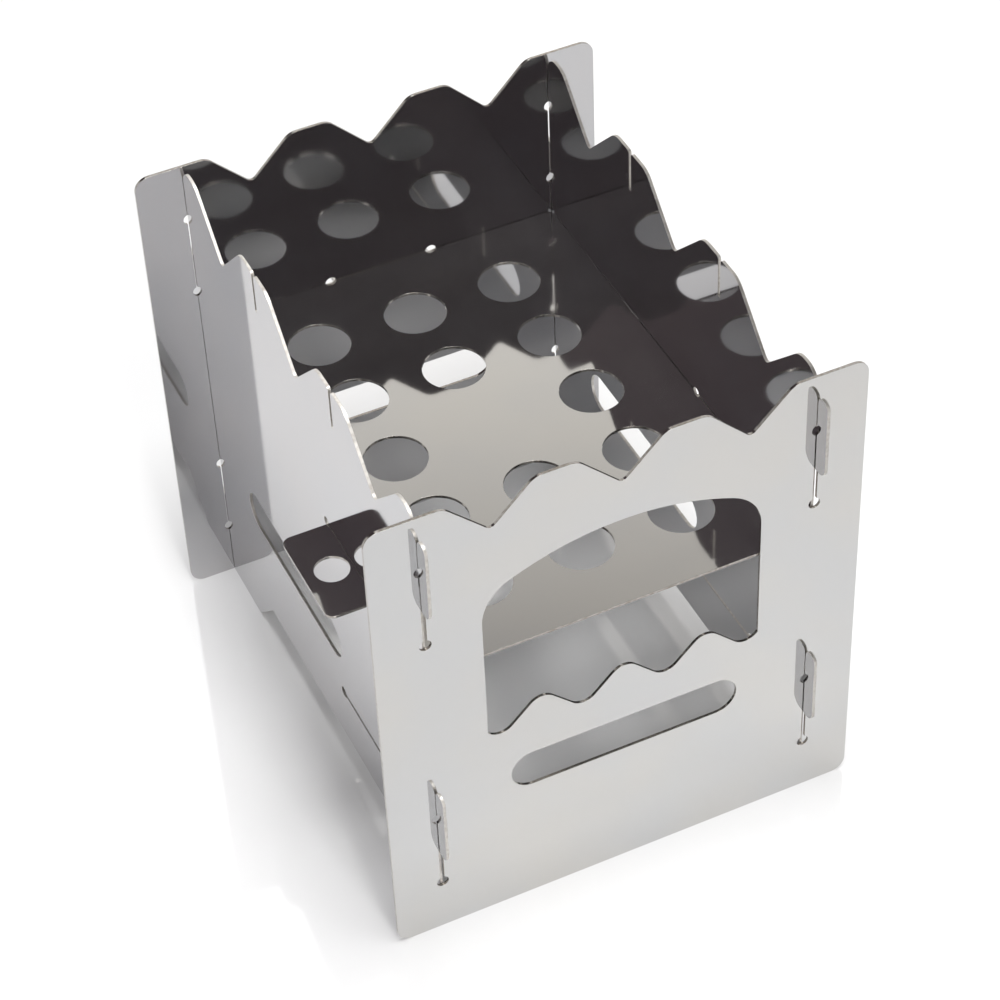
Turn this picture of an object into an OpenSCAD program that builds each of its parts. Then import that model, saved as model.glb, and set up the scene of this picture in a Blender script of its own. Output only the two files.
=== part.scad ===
// Flat-pack hobo stove: four interlocking walls and a perforated grate, all laser cut
// from one gauge of polished stainless steel sheet and put together without fasteners.
// The origin is the centre of the footprint on the ground, the window faces -Y and +Z is up.

/* [Sheet and fits] */
// Thickness of every sheet
sheet_t = 1; // [0.8:0.1:1.2]
// Clearance between a sheet and each side of the slot or notch that it sits in
fit = 0.2; // [0.1:0.05:0.3]
// Play above a tab of the grate in its slot, whose lower edge it rests on
tab_play = 0.2; // [0.1:0.05:0.4]
// Gap inside the stove between the end of a side panel and the front or back panel
end_gap = 0.3; // [0.2:0.1:0.8]
// Radius of the round relief at each end of a slot
relief_r = 2; // [1.5:0.1:2.5]

/* [Main sizes] */
// Overall width, which is that of the front and back panels
panel_w = 162; // [154:1:174]
// Clear depth between the front panel and the back panel
chamber_d = 179.2; // [172:0.2:190]
// Height of all four walls
wall_h = 180; // [174:1:190]

/* [Front and back panels] */
// How far these panels and the grate's side tabs stand out past the side panels
panel_overhang = 16; // [12:0.5:20]
// Radius of the outer corners of the front and back panels
panel_corner_r = 5; // [2:0.5:8]
// Distance between the valleys in the top edge
panel_wave_pitch = 42; // [38:1:44]
// Depth of those valleys down to the point where their flanks meet
panel_wave_depth = 14.3; // [10:0.1:16]
// Radius of the shoulders between those valleys
panel_crest_r = 6; // [3:0.5:8]

/* [Window] */
// Width of the window in the front panel
window_w = 92.6; // [88:0.2:98]
// Distance from the top of the walls down to the top of the window's arch
window_head = 29; // [24:0.5:34]
// Radius of the window's arch
window_arch_r = 90; // [76:1:104]
// Radius that joins the arch to the upright edges
window_shoulder_r = 16; // [8:0.5:20]
// Height of the points between the teeth of the sill above the ground
window_sill = 77.1; // [72:0.5:84]
// Distance between the teeth of the sill
tooth_pitch = 28; // [26:0.5:29]
// Radius that rounds the teeth and the valleys between them
tooth_r = 5.3; // [3:0.1:5.5]
// Radius of the window's lower corners
window_foot_r = 1.5; // [0.5:0.1:1.8]

/* [Air slots] */
// Distance between the centres of an air slot's round ends
air_slot_span = 64; // [50:1:70]
// Radius of an air slot's round ends
air_slot_r = 7.2; // [5:0.1:8]
// Height of the air slots above the ground
air_slot_z = 58.3; // [52:0.5:62]
// Shift of the side panels' air slots towards the back
side_air_slot_shift = 21.5; // [0:0.5:24]

/* [Hooks] */
// Distance between the relief centres of a hook slot
hook_slot_l = 30; // [28:0.5:34]
// Distance between the upper and the lower hook slots
hook_spacing = 107.5; // [102:0.5:112]
// Height of a hook's neck
hook_neck_h = 17.2; // [14:0.2:18]
// Height of a hook from its heel to its tip
hook_h = 29.4; // [27:0.2:33]
// How far a hook stands out from the panel that it holds
hook_reach = 5.8; // [4:0.1:7]
// Radius of a hook's heel
hook_heel_r = 3.6; // [1:0.1:4]
// Radius of both corners of a hook's tip, which leads the slot over it
hook_tip_r = 2.7; // [0.5:0.1:3]

/* [Side panels] */
// Distance between the valleys in the top edge
side_wave_pitch = 59.6; // [56:0.2:62]
// Depth of those valleys down to the point where their flanks meet
side_wave_depth = 19; // [14:0.5:22]
// Radius of the shoulders between those valleys
side_crest_r = 8; // [4:0.5:9]
// Radius of the upper corners at both ends
side_corner_r = 6; // [3:0.5:8]
// Depth of the slits for cross bars in the two middle crests
bar_slit_depth = 15; // [10:0.5:20]
// Radius that opens the mouth of such a slit
bar_slit_mouth_r = 1.2; // [0.5:0.1:2]
// Length of the opening under the side panels at the ground
foot_gap_l = 129; // [110:1:140]
// Height of the opening under the side panels
foot_gap_h = 14.5; // [8:0.5:18]
// Radius of the corners of that opening
foot_gap_r = 2; // [1:0.5:4]

/* [Rounding shared by the top edges] */
// Radius at the bottom of every valley
valley_r = 2; // [1:0.1:3]

/* [Grate] */
// Height of the grate's top face above the ground
grate_top = 114.8; // [106:0.2:124]
// Height of its top face above the ground when it lies in the lower slots
lower_grate_top = 37.4; // [30:0.2:44]
// Radius of the grate's large holes
grate_hole_r = 10.5; // [8:0.1:12]
// Distance between the grate's holes from side to side
grate_hole_pitch_x = 34.5; // [30:0.1:38]
// Distance between the grate's holes from front to back
grate_hole_pitch_y = 30.8; // [28:0.1:33]
// Radius of the grate's own corners
grate_corner_r = 2; // [1:0.5:6]
// Width of the two side tabs
side_tab_w = 37.6; // [30:0.2:42]
// Shift of the side tabs towards the front
side_tab_shift = 36; // [20:0.5:42]
// Radius of the hole in each side tab
tab_hole_r = 5.6; // [3:0.1:6]
// Distance from a side tab's end to the centre of its hole
tab_hole_inset = 9.25; // [8:0.25:10]
// Width of the back tab
back_tab_w = 34.8; // [26:0.2:40]
// Radius of the tabs' outer corners
tab_corner_r = 3; // [1:0.5:5]
// Gap between a tab's edge and the relief centre of its slot
tab_side_gap = 1; // [0.5:0.1:1.5]

/* [Hidden] */
$fn = 96;
steel = [0.78, 0.78, 0.77];
grate_steel = [0.70, 0.69, 0.67];
// Overrun of every cut past the face that it starts from
over = 1;
// How far an arc stands past the edges that it runs into, so that they always cross
arc_over = 0.002;

slot_w = sheet_t + 2*fit;
tab_slot_w = sheet_t + tab_play;
chamber_w = panel_w - 2*panel_overhang - 2*sheet_t;
front_y = -chamber_d/2;
back_y = chamber_d/2;
side_mid_x = chamber_w/2 + sheet_t/2;
hook_slot_z = [wall_h/2 - hook_spacing/2, wall_h/2 + hook_spacing/2];
side_tab_slot_l = side_tab_w + 2*tab_side_gap;
back_tab_slot_l = back_tab_w + 2*tab_side_gap;
// The grate lies on the lower edges of its slots
grate_slot_z = [for (top = [grate_top, lower_grate_top]) top - sheet_t/2 + tab_play/2];

// Vector algebra for the rounded outlines
function unit(v) = v/norm(v);
function flat(p) = [p[0], p[1]];
function turn(a, p, b) = (p[0] - a[0])*(b[1] - p[1]) - (p[1] - a[1])*(b[0] - p[0]);
function join_lists(lists) = [for (l = lists) for (p = l) p];

// Start, centre and end of the arc of radius r that rounds the corner p between the
// neighbouring corners a and b
function arc_of(a, p, b, r) =
    let (to_a = unit(flat(a) - flat(p)),
         to_b = unit(flat(b) - flat(p)),
         half = acos(to_a*to_b)/2,
         reach = r/tan(half))
    [flat(p) + to_a*reach, flat(p) + unit(to_a + to_b)*r/sin(half), flat(p) + to_b*reach];

// A pie piece that holds an arc, a little wider than the arc at both ends
module pie(arc, r) {
    a = arc[0] - arc[1];
    b = arc[2] - arc[1];
    intersection() {
        translate(arc[1]) circle(r = r + arc_over);
        polygon([arc[1], arc[1] + 2*a + (a - b)/2, arc[1] + 2*r*unit(a + b), arc[1] + 2*b + (b - a)/2]);
    }
}

// A closed outline, anticlockwise, from corners [x, y, radius]. A polygon cuts every round
// corner short; pie pieces then fill the convex ones and hollow out the concave ones
module rounded_outline(corners) {
    n = len(corners);
    turns = [for (i = [0:n - 1]) turn(corners[(i + n - 1) % n], corners[i], corners[(i + 1) % n])];
    arcs = [for (i = [0:n - 1])
        arc_of(corners[(i + n - 1) % n], corners[i], corners[(i + 1) % n], corners[i][2])];
    difference() {
        union() {
            polygon([for (i = [0:n - 1]) if (corners[i][2] > 0) each [arcs[i][0], arcs[i][2]]
                                         else flat(corners[i])]);
            for (i = [0:n - 1]) if (corners[i][2] > 0 && turns[i] > 0) pie(arcs[i], corners[i][2]);
        }
        for (i = [0:n - 1]) if (corners[i][2] > 0 && turns[i] < 0) pie(arcs[i], corners[i][2]);
    }
}

// A slot for a sheet along X, with a round relief at both ends
module relief_slot(l, w) {
    square([l, w], center = true);
    for (s = [-1, 1]) translate([s*l/2, 0]) circle(r = relief_r);
}

module air_slot() {
    square([air_slot_span, 2*air_slot_r], center = true);
    for (s = [-1, 1]) translate([s*air_slot_span/2, 0]) circle(r = air_slot_r);
}

// Corners of one valley of a top edge, met when the edge is followed towards -X;
// its flanks slope at 45 degrees
function valley(at, depth, crest_r) = [
    [at + depth, wall_h, crest_r],
    [at, wall_h - depth, valley_r],
    [at - depth, wall_h, crest_r]
];

// Outline shared by the front and back panels
module panel_outline() {
    half_w = panel_w/2;
    rounded_outline(join_lists([
        [[-half_w, 0, panel_corner_r], [half_w, 0, panel_corner_r]],
        [[half_w, wall_h, panel_corner_r]],
        valley(panel_wave_pitch, panel_wave_depth, panel_crest_r),
        valley(0, panel_wave_depth, panel_crest_r),
        valley(-panel_wave_pitch, panel_wave_depth, panel_crest_r),
        [[-half_w, wall_h, panel_corner_r]]
    ]));
}

module hook_slots() {
    for (x = [-side_mid_x, side_mid_x], z = hook_slot_z)
        translate([x, z]) rotate(90) relief_slot(hook_slot_l, slot_w);
}

// The window: an arch over two upright edges, with a toothed sill
module window() {
    half_w = window_w/2;
    arch_c = [0, wall_h - window_head - window_arch_r];
    // The shoulder arcs touch both the arch and the upright edges
    shoulder_x = half_w - window_shoulder_r;
    shoulder_rise = sqrt(pow(window_arch_r - window_shoulder_r, 2) - pow(shoulder_x, 2));
    shoulder_z = arch_c[1] + shoulder_rise;
    tooth_h = tooth_pitch/2;
    foot_z = window_sill + half_w - 3*tooth_h;
    // The outermost valleys share their short flanks with the rounds of the lower corners
    end_valley_r = min(tooth_r, (half_w - 3*tooth_h)*sqrt(2) - window_foot_r*tan(22.5) - fit/2);
    rounded_outline(join_lists([
        [[-half_w, foot_z, window_foot_r]],
        [for (i = [-3:3]) [
            i*tooth_h,
            window_sill + (abs(i) % 2 == 1 ? 0 : tooth_h),
            abs(i) == 3 ? end_valley_r : tooth_r
        ]],
        [[half_w, foot_z, window_foot_r]],
        [[half_w, shoulder_z, 0], [-half_w, shoulder_z, 0]]
    ]));
    for (s = [-1, 1]) translate([s*shoulder_x, shoulder_z]) circle(r = window_shoulder_r + arc_over);
    intersection() {
        translate(arch_c) circle(r = window_arch_r);
        polygon([[-shoulder_x, shoulder_z - window_shoulder_r],
                 [shoulder_x, shoulder_z - window_shoulder_r],
                 [shoulder_x, shoulder_z],
                 arch_c + [shoulder_x, shoulder_rise]*2,
                 arch_c + [-shoulder_x, shoulder_rise]*2,
                 [-shoulder_x, shoulder_z]]);
    }
}

module front_panel() {
    color(steel) translate([0, front_y, 0]) rotate([90, 0, 0]) linear_extrude(sheet_t)
        difference() {
            panel_outline();
            hook_slots();
            window();
            translate([0, air_slot_z]) air_slot();
        }
}

module back_panel() {
    color(steel) translate([0, back_y + sheet_t, 0]) rotate([90, 0, 0]) linear_extrude(sheet_t)
        difference() {
            panel_outline();
            hook_slots();
            translate([0, air_slot_z]) air_slot();
            for (z = grate_slot_z) translate([0, z]) relief_slot(back_tab_slot_l, tab_slot_w);
        }
}

// Corners of a back hook about the middle of its slot, from the notch to the heel. It points
// down into the back panel; a front hook is the same, turned through 180 degrees
function hook(z, s) = [for (c = [
        [back_y - end_gap, heel_z - hook_neck_h, 0],
        [finger_y, heel_z - hook_neck_h, 0],
        [finger_y, heel_z - hook_h, tip_r],
        [tip_y, heel_z - hook_h, tip_r],
        [tip_y, heel_z, hook_heel_r],
        [back_y - end_gap, heel_z, 0]
    ]) [s*c[0], z + s*c[1], c[2]]];
finger_y = back_y + sheet_t + fit;
tip_y = back_y + sheet_t + hook_reach;
// At most, the tip is fully round
tip_r = min(hook_tip_r, (hook_reach - fit)/2 - fit/2);
// The notch ends just short of the slot's relief
heel_z = hook_neck_h - hook_slot_l/2 - relief_r + fit;

// A slit for a cross bar, open at the top edge
function bar_slit(at) = [
    [at + slot_w/2, wall_h, bar_slit_mouth_r],
    [at + slot_w/2, wall_h - bar_slit_depth, 0],
    [at - slot_w/2, wall_h - bar_slit_depth, 0],
    [at - slot_w/2, wall_h, bar_slit_mouth_r]
];

// Outline of a side panel with Y to the right
module side_outline() {
    end_y = back_y - end_gap;
    half_gap = foot_gap_l/2;
    // The last crest leaves the upper corners this much straight edge
    crest_end = side_wave_pitch + side_wave_depth + side_crest_r*tan(22.5);
    corner_r = min(side_corner_r, end_y - crest_end - fit);
    rounded_outline(join_lists([
        [[-end_y, 0, 0]],
        [[-half_gap, 0, foot_gap_r], [-half_gap + foot_gap_h, foot_gap_h, foot_gap_r]],
        [[half_gap - foot_gap_h, foot_gap_h, foot_gap_r], [half_gap, 0, foot_gap_r]],
        [[end_y, 0, 0]],
        hook(hook_slot_z[0], 1),
        hook(hook_slot_z[1], 1),
        [[end_y, wall_h, corner_r]],
        valley(side_wave_pitch, side_wave_depth, side_crest_r),
        bar_slit(side_wave_pitch/2),
        valley(0, side_wave_depth, side_crest_r),
        bar_slit(-side_wave_pitch/2),
        valley(-side_wave_pitch, side_wave_depth, side_crest_r),
        [[-end_y, wall_h, corner_r]],
        hook(hook_slot_z[1], -1),
        hook(hook_slot_z[0], -1)
    ]));
}

module side_panel(x) {
    color(steel) translate([x - sheet_t/2, 0, 0]) rotate([90, 0, 90]) linear_extrude(sheet_t)
        difference() {
            side_outline();
            translate([side_air_slot_shift, air_slot_z]) air_slot();
            for (z = grate_slot_z)
                translate([-side_tab_shift, z]) relief_slot(side_tab_slot_l, tab_slot_w);
        }
}

module left_side_panel() side_panel(-side_mid_x);

module right_side_panel() side_panel(side_mid_x);

// The grate rests on its two side tabs, which end level with the edges of the front and back
// panels, and on its back tab. The place of the middle hole is left whole
module grate() {
    half_w = chamber_w/2 - fit;
    half_d = chamber_d/2 - fit;
    side_end = panel_w/2;
    back_end = tip_y;
    tab_front = -side_tab_shift - side_tab_w/2;
    tab_back = -side_tab_shift + side_tab_w/2;
    right_half = [
        [half_w, -half_d, grate_corner_r],
        [half_w, tab_front, 0],
        [side_end, tab_front, tab_corner_r],
        [side_end, tab_back, tab_corner_r],
        [half_w, tab_back, 0],
        [half_w, half_d, grate_corner_r],
        [back_tab_w/2, half_d, 0],
        [back_tab_w/2, back_end, tab_corner_r]
    ];
    n = len(right_half);
    left_half = [for (i = [n - 1:-1:0])
        [-right_half[i][0], right_half[i][1], right_half[i][2]]];
    color(grate_steel) translate([0, 0, grate_top - sheet_t]) linear_extrude(sheet_t)
        difference() {
            rounded_outline(join_lists([right_half, left_half]));
            for (i = [-1:1], j = [-2:2]) if (i != 0 || j != 0)
                translate([i*grate_hole_pitch_x, j*grate_hole_pitch_y])
                    circle(r = grate_hole_r);
            for (s = [-1, 1])
                translate([s*(side_end - tab_hole_inset), -side_tab_shift])
                    circle(r = tab_hole_r);
        }
}

front_panel();
back_panel();
left_side_panel();
right_side_panel();
grate();
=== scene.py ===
import math

import bpy
from mathutils import Matrix, Vector


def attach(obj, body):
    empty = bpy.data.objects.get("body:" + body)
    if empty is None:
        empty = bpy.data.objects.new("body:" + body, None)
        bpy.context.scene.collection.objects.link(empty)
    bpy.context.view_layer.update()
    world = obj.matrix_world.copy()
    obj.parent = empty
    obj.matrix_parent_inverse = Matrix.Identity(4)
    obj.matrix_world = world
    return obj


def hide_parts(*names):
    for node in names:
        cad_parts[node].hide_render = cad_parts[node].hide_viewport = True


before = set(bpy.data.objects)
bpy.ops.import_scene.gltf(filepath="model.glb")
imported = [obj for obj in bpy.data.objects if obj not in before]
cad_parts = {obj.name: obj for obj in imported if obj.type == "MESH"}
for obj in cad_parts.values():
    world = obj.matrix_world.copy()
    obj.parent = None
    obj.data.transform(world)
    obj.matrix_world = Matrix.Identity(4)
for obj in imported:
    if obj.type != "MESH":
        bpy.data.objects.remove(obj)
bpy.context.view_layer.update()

# The stove's five plates, each rebuilt from its CAD plate with rounded edges and polished steel,
# on a white gloss table in a plain studio. Lengths are in metres where no comment says otherwise.
MM = 0.001

# Camera, solved from the stove's own straight edges: its place, its angles in degrees, and its
# lens and sensor in millimetres
CAMERA_PLACE = (-0.28721, -0.66226, 0.77459)
CAMERA_AZIMUTH = 23.492
CAMERA_DROP = 43.844
CAMERA_ROLL = 2.753
CAMERA_LENS = 110.557
SENSOR_WIDTH = 36.0
CAMERA_CLIP = (0.05, 40.0)

# Edges of the plates. Walls that meet at less than the smooth angle, in degrees, are shaded as one
# curve, and the mitre limit keeps the rounding of a sharp corner short
EDGE_ROUND = 0.045 * MM
ROUND_STEPS = 2
SMOOTH_ANGLE = 32.0
MITRE_LIMIT = 0.35
# The two axes of a plate's plane, by its thickness axis
PLANE_AXES = ((1, 2), (2, 0), (0, 1))
# Material numbers of a plate's faces
SHEET, CUT = 0, 1

# Below, a noise is its scale in cells to a metre, its detail and, where it isn't a half, its
# roughness. A spread is a range of values and the range that it becomes, 0 to 1 if left out

# Studio light by direction, which is a unit vector. A fade gives the values of its height between
# which a light comes or goes. An azimuth turns from +Y towards +X, and the two half widths of a
# band about it are where its soft edge ends and starts, all in degrees

# Dark room above the walls, in two mottled tones, and darker as the direction's X grows
ROOM_WARM = (0.118, 0.083, 0.085, 1)
ROOM_COOL = (0.074, 0.068, 0.084, 1)
ROOM_DARK = (0.02, 0.014, 0.018, 1)
ROOM_CLOUDS = (2.3, 1.0)
ROOM_DARKENING = (-0.3, 0.32, 0.0, 0.7)

# White walls low round the stove, brighter in front of it, as the direction's Y falls
WALL_FADE = (0.3, 0.5)
WALL_LIGHT = (0.9, 0.9, 0.9, 1)
WALL_FRONT = (1.6, 1.6, 1.6, 1)
WALL_BRIGHTENING = (0.3, -0.6)

# White panel behind the stove, dark higher up, with a flank on each side
BACK_AZIMUTH = 24.5
BACK_SIDES = (7.5, 5.5)
BACK_FADE = (0.59, 0.83)
BACK_LOW = (1.16, 1.13, 1.08, 1)
BACK_HIGH = (0.06, 0.05, 0.045, 1)
FLANK_SIDES = (30.0, 26.0)
FLANK_LIGHT = (1.1, 1.1, 1.1, 1)

# Upright panels: azimuth, half widths, fade at the foot, and light
FRONT_STRIP = (180.0, (9.0, 7.0), (0.1, 0.2), (8.6, 8.6, 8.6, 1))
LEFT_STRIP = (268.0, (26.0, 18.0), (0.3, 0.4), (1.2, 1.2, 1.22, 1))
RIGHT_STRIP = (90.0, (26.0, 18.0), (0.3, 0.4), (0.4, 0.4, 0.4, 1))
STRIPS = (FRONT_STRIP, LEFT_STRIP, RIGHT_STRIP)

# Ceiling, brighter towards the way that it leans
OVERHEAD_FADE = (0.82, 0.88)
OVERHEAD_LEAN = (0.2, -0.98, 0.0)
OVERHEAD_RAMP = (-0.56, 0.56)
OVERHEAD_DIM = (0.3, 0.3, 0.3, 1)
OVERHEAD_LIGHT = (0.5, 0.5, 0.5, 1)

# Soft square lamp that faces the middle of the stove's foot, with its power in watts
LAMP_PLACE = (0.0, -0.12, 1.1)
LAMP_SIZE = 0.4
LAMP_POWER = 8.1

# White gloss table
FLOOR_HALF = 9.0
FLOOR_IOR = 2.4
FLOOR_TONE = (0.9, 0.9, 0.9, 1)
FLOOR_CLOUD = (0.885, 0.885, 0.885, 1)
FLOOR_CLOUDS = (9.0, 2.0)
FLOOR_ROUGHNESS = (0.2, 0.8, 0.04, 0.07)

# Sheet by plate: two tones and how dusty it is. The tones are painted light: the front and the
# grate are warmer and lighter, a painted warm light, and the walls cooler and darker, a painted
# cool shade
FRONT_SHEET_WARM_LIGHT = ((0.612, 0.602, 0.582, 1), (0.592, 0.593, 0.592, 1), 0.2)
WALL_SHEET_COOL_SHADE = ((0.552, 0.545, 0.55, 1), (0.532, 0.534, 0.546, 1), 0.1)
GRATE_SHEET_WARM_LIGHT = ((0.585, 0.575, 0.555, 1), (0.565, 0.56, 0.55, 1), 6.0)
# From one plate to the next, the noise of the sheet is moved by this
SHEET_SHIFT = (1.7, 1.19, -1.7)

# Clouds of the two tones and of haze, which is roughness
CLOUDS = (22.0, 3.0)
TONE_SPREAD = (0.3, 0.7)
HAZE_SPREAD = (0.25, 0.8, 0.035, 0.075)
# Fine specks, as added roughness and as height
SPECKS = (1900.0, 2.0)
SPECK_SPREAD = (0.6, 0.9, 0.0, 0.06)
SPECK_HEIGHT = 0.02e-6
# Hairline scratches one way and the other, which are noise squeezed across them
HAIR = (260.0, 3.0, 0.6)
HAIR_SQUEEZE = 14.0
SCRATCH_SPREAD = (0.66, 0.78)
CROSS_SCRATCH_SPREAD = (0.68, 0.8)
SCRATCH_ROUGHNESS = 0.05
# Waves left by the rolling, long and short
ROLL = (14.0, 1.0)
ROLL_HEIGHT = 26e-6
RIPPLE = (55.0, 2.0)
RIPPLE_HEIGHT = 2.2e-6
# Dust: how much of the surface the motes and the even film hide, from clean to grimy places
GRIME = (30.0, 4.0, 0.65)
GRIME_SPREAD = (0.3, 0.7)
MOTES = (1700.0, 3.0)
MOTE_SPREAD = (0.5, 0.72)
MOTE_COVER = (0.004, 0.008)
FILM_COVER = (0.0031, 0.0047)

# Cut edges: least and greatest roughness, tone and burnt tone
SMOOTH_CUT = ((0.06, 0.12), (0.42, 0.4, 0.375, 1), (0.27, 0.24, 0.21, 1))
STRIATED_CUT = ((0.3, 0.42), (0.54, 0.52, 0.49, 1), (0.42, 0.39, 0.36, 1))
CUT_SHIFT = (0.9, -0.9, 0.27)
# How far the fine grooves through the thickness draw reflections out along the cut
EDGE_BRUSHING = 0.92
STRIATION = (5200.0, 2.0, 0.6)
STRIATION_STRETCH = 0.06
STRIATION_HEIGHT = 5e-6
BLOTCHES = (900.0, 3.0)
BURN_SPREAD = (0.35, 0.75)
PATCHES = (260.0, 2.0)
PATCH_SPREAD = (0.35, 0.6)

# Each plate's name, thickness axis, body, material slot, sheet, whose tones are painted light, and
# cut
PLATES = (
    ("front_panel", 1, "front_panel", "wall_steel", FRONT_SHEET_WARM_LIGHT, SMOOTH_CUT),
    ("back_panel", 1, "stove_body", "wall_steel", WALL_SHEET_COOL_SHADE, SMOOTH_CUT),
    ("left_side_panel", 0, "stove_body", "wall_steel", WALL_SHEET_COOL_SHADE, STRIATED_CUT),
    ("right_side_panel", 0, "stove_body", "wall_steel", WALL_SHEET_COOL_SHADE, STRIATED_CUT),
    ("grate", 2, "stove_body", "grate_steel", GRATE_SHEET_WARM_LIGHT, SMOOTH_CUT),
)


class Tree:
    """Node building in few words: makes a node, sets its values and joins its inputs."""

    def __init__(self, owner):
        owner.use_nodes = True
        self.nodes = owner.node_tree.nodes
        self.links = owner.node_tree.links
        self.nodes.clear()

    def add(self, kind, inputs=None, **settings):
        node = self.nodes.new(kind)
        for key, value in settings.items():
            setattr(node, key, value)
        for key, value in (inputs or {}).items():
            if isinstance(value, bpy.types.NodeSocket):
                self.links.new(value, node.inputs[key])
            else:
                node.inputs[key].default_value = value
        return node

    def math(self, operation, a, b):
        return self.add("ShaderNodeMath", {0: a, 1: b}, operation=operation).outputs[0]

    def vector(self, operation, *inputs):
        return self.add(
            "ShaderNodeVectorMath", dict(enumerate(inputs)), operation=operation
        ).outputs[0]

    def dot(self, a, b):
        return self.add(
            "ShaderNodeVectorMath", {0: a, 1: b}, operation="DOT_PRODUCT"
        ).outputs["Value"]

    def spread(self, value, from_low, from_high, to_low=0.0, to_high=1.0, smooth=True):
        """Maps a value from one range to another, with soft ends."""
        return self.add(
            "ShaderNodeMapRange",
            {0: value, 1: from_low, 2: from_high, 3: to_low, 4: to_high},
            interpolation_type="SMOOTHSTEP" if smooth else "LINEAR",
        ).outputs[0]

    def place(self, shift, order):
        """Object coordinates, moved so that each plate has another part of the noise."""
        return self.add(
            "ShaderNodeMapping",
            {
                "Vector": self.add("ShaderNodeTexCoord").outputs["Object"],
                "Location": [order * step for step in shift],
            },
        ).outputs[0]

    def noise(self, coordinates, scale, detail, roughness=0.5, stretch=None):
        """Fractal noise, squeezed along axes where stretch is above 1 for that axis."""
        if stretch:
            coordinates = self.add(
                "ShaderNodeMapping", {"Vector": coordinates, "Scale": stretch}
            ).outputs[0]
        return self.add(
            "ShaderNodeTexNoise",
            {
                "Vector": coordinates,
                "Scale": scale,
                "Detail": detail,
                "Roughness": roughness,
            },
        ).outputs[0]

    def mix(self, factor, a, b):
        return self.add(
            "ShaderNodeMix", {0: factor, 6: a, 7: b}, data_type="RGBA"
        ).outputs[2]

    def surface(self, inputs, height=None):
        """Ends a material with its shader, whose bump follows a height in metres."""
        if height is not None:
            bump = self.add(
                "ShaderNodeBump", {"Strength": 1.0, "Distance": 1.0, "Height": height}
            )
            inputs = {**inputs, "Normal": bump.outputs[0]}
        shader = self.add("ShaderNodeBsdfPrincipled", inputs)
        self.add("ShaderNodeOutputMaterial", {"Surface": shader.outputs[0]})


def polished_steel(name, lit_tones_and_dust, order):
    """Mirror-polished sheet: roll waviness, haze, hairline scratches and dust, with two tones per
    plate that are painted light.
    """
    # The plate's two tones are painted light: warmer and lighter, or cooler and darker, by the
    # light that the plate reflects
    tone, deep_tone, dust = lit_tones_and_dust
    material = bpy.data.materials.new(name)
    t = Tree(material)
    here = t.place(SHEET_SHIFT, order)
    clouds = t.noise(here, *CLOUDS)
    specks = t.noise(here, *SPECKS)

    hair = t.noise(here, *HAIR, stretch=(1.0, 1.0, HAIR_SQUEEZE))
    hair_across = t.noise(here, *HAIR, stretch=(HAIR_SQUEEZE, HAIR_SQUEEZE, 1.0))
    scratches = t.math(
        "MAXIMUM", t.spread(hair, *SCRATCH_SPREAD), t.spread(hair_across, *CROSS_SCRATCH_SPREAD)
    )
    rough = t.spread(clouds, *HAZE_SPREAD)
    rough = t.math("ADD", rough, t.math("MULTIPLY", scratches, SCRATCH_ROUGHNESS))
    rough = t.math("ADD", rough, t.spread(specks, *SPECK_SPREAD))

    height = t.math("MULTIPLY", t.noise(here, *ROLL), ROLL_HEIGHT)
    ripple = t.math("MULTIPLY", t.noise(here, *RIPPLE), RIPPLE_HEIGHT)
    height = t.math("ADD", height, ripple)
    height = t.math("ADD", height, t.math("MULTIPLY", specks, SPECK_HEIGHT))

    grime = t.noise(here, *GRIME)
    motes = t.spread(t.noise(here, *MOTES), *MOTE_SPREAD)

    def dusting(cover):
        return t.spread(grime, *GRIME_SPREAD, *[share * dust for share in cover])

    cover = t.math("MULTIPLY", motes, dusting(MOTE_COVER))
    cover = t.math("ADD", cover, dusting(FILM_COVER))
    t.surface(
        {
            "Base Color": t.mix(t.spread(clouds, *TONE_SPREAD), tone, deep_tone),
            "Metallic": t.math("SUBTRACT", 1.0, cover),
            "Roughness": rough,
        },
        height,
    )
    return material


def cut_edge(name, axis, cut, order):
    """The laser-cut edge of a sheet, with burnt blotches and grooves through the thickness."""
    roughness, tone, burnt = cut
    material = bpy.data.materials.new(name)
    t = Tree(material)
    here = t.place(CUT_SHIFT, order)
    through = tuple(1.0 if i == axis else 0.0 for i in range(3))
    stretch = tuple(STRIATION_STRETCH if i == axis else 1.0 for i in range(3))
    striation = t.noise(here, *STRIATION, stretch=stretch)
    burns = t.spread(t.noise(here, *BLOTCHES), *BURN_SPREAD)
    facing = t.add("ShaderNodeNewGeometry").outputs["Normal"]
    t.surface(
        {
            "Base Color": t.mix(burns, tone, burnt),
            "Metallic": 1.0,
            "Roughness": t.spread(t.noise(here, *PATCHES), *PATCH_SPREAD, *roughness),
            "Anisotropic": EDGE_BRUSHING,
            "Tangent": t.vector("CROSS_PRODUCT", facing, through),
        },
        t.math("MULTIPLY", striation, STRIATION_HEIGHT),
    )
    return material


def floor_material():
    """A plain white gloss table."""
    material = bpy.data.materials.new("white_table")
    t = Tree(material)
    place = t.add("ShaderNodeTexCoord").outputs["Object"]
    clouds = t.noise(place, *FLOOR_CLOUDS)
    t.surface(
        {
            "Base Color": t.mix(clouds, FLOOR_TONE, FLOOR_CLOUD),
            "Roughness": t.spread(clouds, *FLOOR_ROUGHNESS),
            "IOR": FLOOR_IOR,
        }
    )
    return material


def put(name, data):
    """A new object in the scene."""
    item = bpy.data.objects.new(name, data)
    bpy.context.scene.collection.objects.link(item)
    return item


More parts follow.
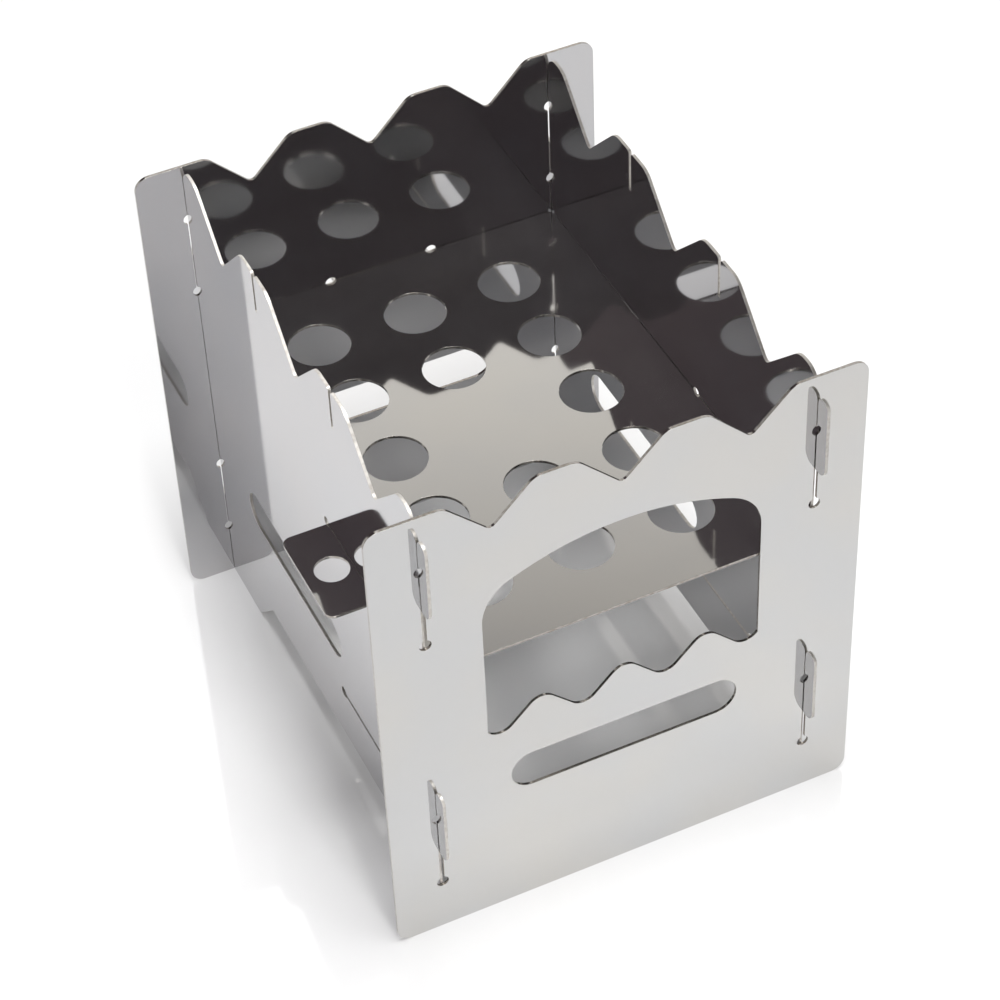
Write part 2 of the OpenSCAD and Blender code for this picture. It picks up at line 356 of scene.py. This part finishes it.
def read_plate(source, axis):
    """A CAD plate's outline points in its plane, the polygons of its upper and lower face by
    those points' numbers, and its highest and lowest place along the thickness."""
    first, second = PLANE_AXES[axis]
    corners = [tuple(round(c, 6) for c in vertex.co) for vertex in source.vertices]
    high = max(corner[axis] for corner in corners)
    low = min(corner[axis] for corner in corners)
    number = {}
    for corner in corners:
        number.setdefault((corner[first], corner[second]), len(number))
    upper, lower = [], []
    for polygon in source.polygons:
        face = [corners[v] for v in polygon.vertices]
        levels = {corner[axis] for corner in face}
        spots = [number[corner[first], corner[second]] for corner in face]
        if levels == {high}:
            upper.append(spots)
        elif levels == {low}:
            lower.append(spots)
    return [Vector(spot) for spot in number], upper, lower, high, low


def edge_directions(spots, follow):
    """Where each outline point moves to as the plate is drawn in, and the directions that its
    wall faces where it leaves the point and where it arrives there."""

    def outward(p, q):
        along = (spots[q] - spots[p]).normalized()
        return Vector((along.y, -along.x))

    wall = {p: outward(p, q) for p, q in follow.items()}
    before = {q: p for p, q in follow.items()}
    sharp = math.cos(math.radians(SMOOTH_ANGLE))
    shift, leave, arrive = {}, {}, {}
    for p in follow:
        n_in, n_out = wall[before[p]], wall[p]
        dot = n_in.dot(n_out)
        shift[p] = (n_in + n_out) / max(1.0 + dot, MITRE_LIMIT)
        mean = (n_in + n_out).normalized() if dot > sharp else None
        leave[p] = mean or n_out
        arrive[p] = mean or n_in
    return shift, leave, arrive


def edge_profile(high, low):
    """Rows of points down a rounded edge: how far each is drawn in, its place along the
    thickness, and how far its normal is turned from the upper face's."""
    rings = []
    for k in range(ROUND_STEPS + 1):
        turn = math.pi / 2 * k / ROUND_STEPS
        rings.append((EDGE_ROUND * (1 - math.sin(turn)), EDGE_ROUND * (1 - math.cos(turn)), turn))
    rows = [(inset, high - drop, turn) for inset, drop, turn in rings]
    rows += [(inset, low + drop, math.pi - turn) for inset, drop, turn in reversed(rings)]
    return rows


def make_plate(name, axis, sheet_steel, edge_steel):
    """A plate with rounded edges, made from the CAD plate's outline.

    Its flat faces keep the CAD's triangles, drawn in by the rounding, and all faces carry the
    exact normals of a flat sheet, of its round edges and of its cut wall."""
    first, second = PLANE_AXES[axis]
    spots, upper, lower, high, low = read_plate(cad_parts[name].data, axis)
    edges = {(p, q) for face in upper for p, q in zip(face, face[1:] + face[:1])}
    follow = {p: q for p, q in edges if (q, p) not in edges}
    shift, leave, arrive = edge_directions(spots, follow)
    rows = edge_profile(high, low)
    last = len(rows) - 1

    def at(spot, height):
        point = [0.0, 0.0, 0.0]
        point[first], point[second], point[axis] = spot.x, spot.y, height
        return tuple(point)

    def direction(side, rise):
        return tuple(Vector(at(side, rise)).normalized())

    vertices, index = [], {}
    for r, (inset, height, _) in enumerate(rows):
        for p in follow:
            index[r, p] = len(vertices)
            vertices.append(at(spots[p] - shift[p] * inset, height))

    faces, normals, kinds = [], [], []
    for flat_faces, r, rise in ((upper, 0, 1.0), (lower, last, -1.0)):
        for face in flat_faces:
            faces.append([index[r, p] for p in face])
            normals += [direction(Vector((0.0, 0.0)), rise)] * len(face)
            kinds.append(SHEET)
    for p, q in follow.items():
        for r in range(last):
            corners = ((r, p), (r + 1, p), (r + 1, q), (r, q))
            sides = (leave[p], leave[p], arrive[q], arrive[q])
            faces.append([index[corner] for corner in corners])
            for (row, _), side in zip(corners, sides):
                turn = rows[row][2]
                normals.append(direction(side * math.sin(turn), math.cos(turn)))
            kinds.append(CUT)

    mesh = bpy.data.meshes.new(name + "_sheet")
    mesh.from_pydata(vertices, [], faces)
    mesh.materials.append(sheet_steel)
    mesh.materials.append(edge_steel)
    mesh.polygons.foreach_set("material_index", kinds)
    mesh.polygons.foreach_set("use_smooth", [True] * len(kinds))
    mesh.normals_split_custom_set(normals)
    mesh.validate()
    return put(name + "_sheet", mesh)


def make_world():
    """A plain studio: a dark room over white low walls, a white panel behind the stove, upright
    panels in front and at the sides, and a wide dim ceiling."""
    world = bpy.data.worlds.new("studio")
    bpy.context.scene.world = world
    t = Tree(world)
    ray = t.add("ShaderNodeTexCoord").outputs["Generated"]
    right, ahead, height = t.add("ShaderNodeSeparateXYZ", {0: ray}).outputs
    level = t.vector("NORMALIZE", t.vector("MULTIPLY", ray, (1, 1, 0)))

    def band(azimuth, sides):
        turn = math.radians(azimuth)
        aside = t.dot(level, (math.sin(turn), math.cos(turn), 0))
        return t.spread(aside, *[math.cos(math.radians(side)) for side in sides])

    light = t.mix(t.noise(ray, *ROOM_CLOUDS), ROOM_WARM, ROOM_COOL)
    light = t.mix(t.spread(right, *ROOM_DARKENING), light, ROOM_DARK)
    wall = t.mix(t.spread(ahead, *WALL_BRIGHTENING), WALL_LIGHT, WALL_FRONT)
    light = t.mix(t.spread(height, *WALL_FADE, 1.0, 0.0), light, wall)
    behind = t.mix(t.spread(height, *BACK_FADE), BACK_LOW, BACK_HIGH)
    behind = t.mix(band(BACK_AZIMUTH, BACK_SIDES), FLANK_LIGHT, behind)
    light = t.mix(band(BACK_AZIMUTH, FLANK_SIDES), light, behind)
    for azimuth, sides, fade, colour in STRIPS:
        mask = t.math("MULTIPLY", band(azimuth, sides), t.spread(height, *fade))
        light = t.mix(mask, light, colour)
    ramp = t.spread(t.dot(ray, OVERHEAD_LEAN), *OVERHEAD_RAMP, smooth=False)
    overhead = t.mix(ramp, OVERHEAD_DIM, OVERHEAD_LIGHT)
    light = t.mix(t.spread(height, *OVERHEAD_FADE), light, overhead)
    background = t.add("ShaderNodeBackground", {"Color": light, "Strength": 1.0})
    t.add("ShaderNodeOutputWorld", {"Surface": background.outputs[0]})


def make_lamp():
    """The big soft light over the front of the stove."""
    data = bpy.data.lights.new("overhead", "AREA")
    data.shape = "SQUARE"
    data.size = LAMP_SIZE
    data.energy = LAMP_POWER
    place = Vector(LAMP_PLACE)
    aim = place.to_track_quat("Z", "Y").to_matrix().to_4x4()
    put("overhead", data).matrix_world = Matrix.Translation(place) @ aim


def make_floor():
    """The table top, whose rim no view reaches."""
    mesh = bpy.data.meshes.new("table")
    h = FLOOR_HALF
    mesh.from_pydata([(-h, -h, 0), (h, -h, 0), (h, h, 0), (-h, h, 0)], [], [(0, 1, 2, 3)])
    mesh.materials.append(floor_material())
    put("table", mesh)


def make_camera():
    """The camera at the photograph's place and angle."""
    azimuth, drop = math.radians(CAMERA_AZIMUTH), math.radians(CAMERA_DROP)
    forward = Vector(
        (
            math.sin(azimuth) * math.cos(drop),
            math.cos(azimuth) * math.cos(drop),
            -math.sin(drop),
        )
    )
    right = forward.cross(Vector((0, 0, 1))).normalized()
    up = right.cross(forward)
    roll = Matrix.Rotation(math.radians(CAMERA_ROLL), 3, forward)
    right, up = roll @ right, roll @ up
    data = bpy.data.cameras.new("camera")
    data.lens = CAMERA_LENS
    data.sensor_width = SENSOR_WIDTH
    data.clip_start, data.clip_end = CAMERA_CLIP
    camera = put("camera", data)
    camera.matrix_world = Matrix(
        (
            (right.x, up.x, -forward.x, CAMERA_PLACE[0]),
            (right.y, up.y, -forward.y, CAMERA_PLACE[1]),
            (right.z, up.z, -forward.z, CAMERA_PLACE[2]),
            (0, 0, 0, 1),
        )
    )
    bpy.context.scene.camera = camera


make_camera()
make_world()
make_lamp()
make_floor()
bpy.context.scene.view_settings.view_transform = "Standard"
# The mirror walls face each other, so light passes between them many times
cycles = bpy.context.scene.cycles
cycles.max_bounces = 24
cycles.diffuse_bounces = 6
cycles.glossy_bounces = 16

for order, (name, axis, body, slot, lit_tones_and_dust, cut) in enumerate(PLATES):
    # Each plate's sheet material carries painted light in its tones
    sheet = polished_steel(name + "_polish", lit_tones_and_dust, order)
    edge = cut_edge(name + "_cut", axis, cut, order)
    piece = make_plate(name, axis, sheet, edge)
    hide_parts(name)
    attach(piece, body)

bpy.context.view_layer.update()
